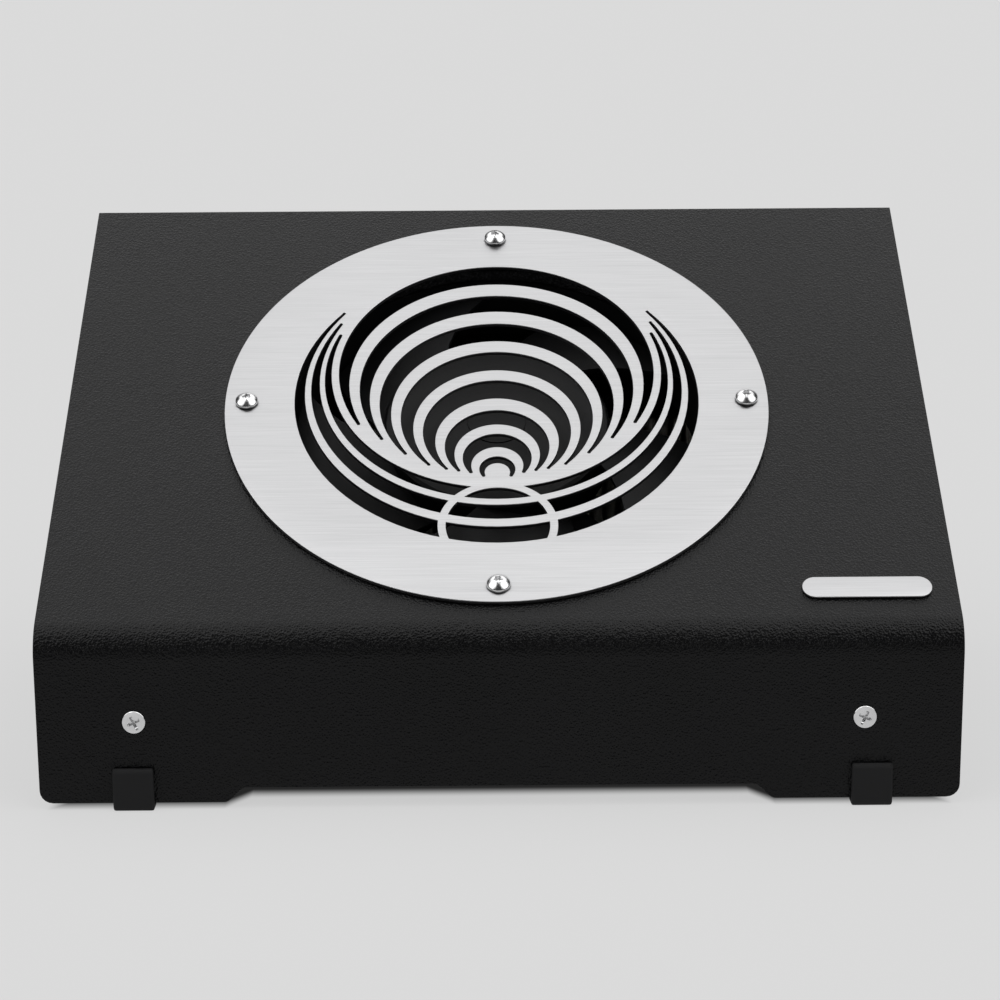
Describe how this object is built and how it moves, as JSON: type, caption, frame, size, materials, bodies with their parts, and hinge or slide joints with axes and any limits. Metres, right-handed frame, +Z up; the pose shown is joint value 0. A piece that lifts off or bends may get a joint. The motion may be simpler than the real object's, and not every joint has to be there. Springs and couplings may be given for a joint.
{
  "type": "benchtop fume extractor",
  "caption": "Wedge-shaped black sheet-steel extraction unit with a round stainless intake grille over a fan and a pull-out filter at the back.",
  "frame": {"origin": "middle of the bounding box's floor, on the surface the rubber feet stand on", "axes": "+X to the right of somebody facing the front panel, +Y towards the back, +Z up"},
  "size_m": [0.3, 0.202, 0.1717],
  "materials": {
    "powder_coat": "fine wrinkle powder coat, satin black",
    "brushed_steel": "straight fine brushing from left to right",
    "polished_steel": "polished stainless",
    "zinc_steel": "dull zinc plate",
    "rubber": "smooth matte black",
    "foam": "soft black foam",
    "black_plastic": "fine matte black",
    "rotor_plastic": "matte dark grey",
    "winding_copper": "varnished copper windings",
    "filter_paper": "pleated off-white filter paper",
    "carbon": "black carbon foam",
    "brass": "turned",
    "circuit_board": "green solder mask",
    "cable_sheath": "black sheath"
  },
  "bodies": {
    "housing": {"cover": "powder_coat", "chassis": "powder_coat", "rear_panel": "powder_coat", "grille_plate": "brushed_steel", "badge": "brushed_steel", "grille_screw_right": "polished_steel", "grille_nut_right": "zinc_steel", "grille_screw_top": "polished_steel", "grille_nut_top": "zinc_steel", "grille_screw_left": "polished_steel", "grille_nut_left": "zinc_steel", "grille_screw_bottom": "polished_steel", "grille_nut_bottom": "zinc_steel", "foot_front_left": "rubber", "foot_rear_left": "rubber", "front_screw_left": "polished_steel", "front_nut_left": "zinc_steel", "rear_screw_upper_left": "zinc_steel", "rear_screw_lower_left": "zinc_steel", "inlet_screw_left": "zinc_steel", "foot_front_right": "rubber", "foot_rear_right": "rubber", "front_screw_right": "polished_steel", "front_nut_right": "zinc_steel", "rear_screw_upper_right": "zinc_steel", "rear_screw_lower_right": "zinc_steel", "inlet_screw_right": "zinc_steel", "fan_frame": "black_plastic", "power_inlet": "black_plastic", "switch_body": "black_plastic", "fan_motor": "winding_copper", "fan_bearing_lower": "zinc_steel", "fan_bearing_upper": "zinc_steel", "speed_control": "zinc_steel", "speed_nut": "zinc_steel", "power_supply": "zinc_steel", "fan_screw_1": "zinc_steel", "fan_screw_2": "zinc_steel", "fan_screw_3": "zinc_steel", "fan_screw_4": "zinc_steel", "fan_gasket": "foam", "control_board": "circuit_board", "inlet_cable": "cable_sheath", "switch_cable": "cable_sheath", "supply_cable": "cable_sheath", "fan_cable": "cable_sheath"},
    "fan_wheel": {"fan_rotor": "rotor_plastic", "fan_shaft": "zinc_steel"},
    "filter_cassette": {"filter_frame": "black_plastic", "filter_media": "filter_paper", "carbon_pad": "carbon", "filter_gasket": "foam", "filter_pull": "black_plastic"},
    "power_rocker": {"switch_rocker": "black_plastic"},
    "speed_dial": {"speed_knob": "black_plastic", "speed_shaft": "brass"}
  },
  "joints": [
    {"name": "fan_spin", "type": "hinge", "parent": "housing", "child": "fan_wheel", "pos_m": [0, 0.0037, 0.09847], "axis": [0, -0.5299, 0.848], "continuous": true},
    {"name": "filter_pull_out", "type": "slide", "parent": "housing", "child": "filter_cassette", "axis": [0, 1, 0], "range_m": [0, 0.045]},
    {"name": "rocker_tip", "type": "hinge", "parent": "housing", "child": "power_rocker", "pos_m": [-0.116, 0.08249, 0.04], "axis": [1, 0, 0], "range_deg": [0, 20]},
    {"name": "speed_turn", "type": "hinge", "parent": "housing", "child": "speed_dial", "pos_m": [-0.116, 0.09199, 0.08], "axis": [0, -1, 0], "range_deg": [0, 300]}
  ]
}
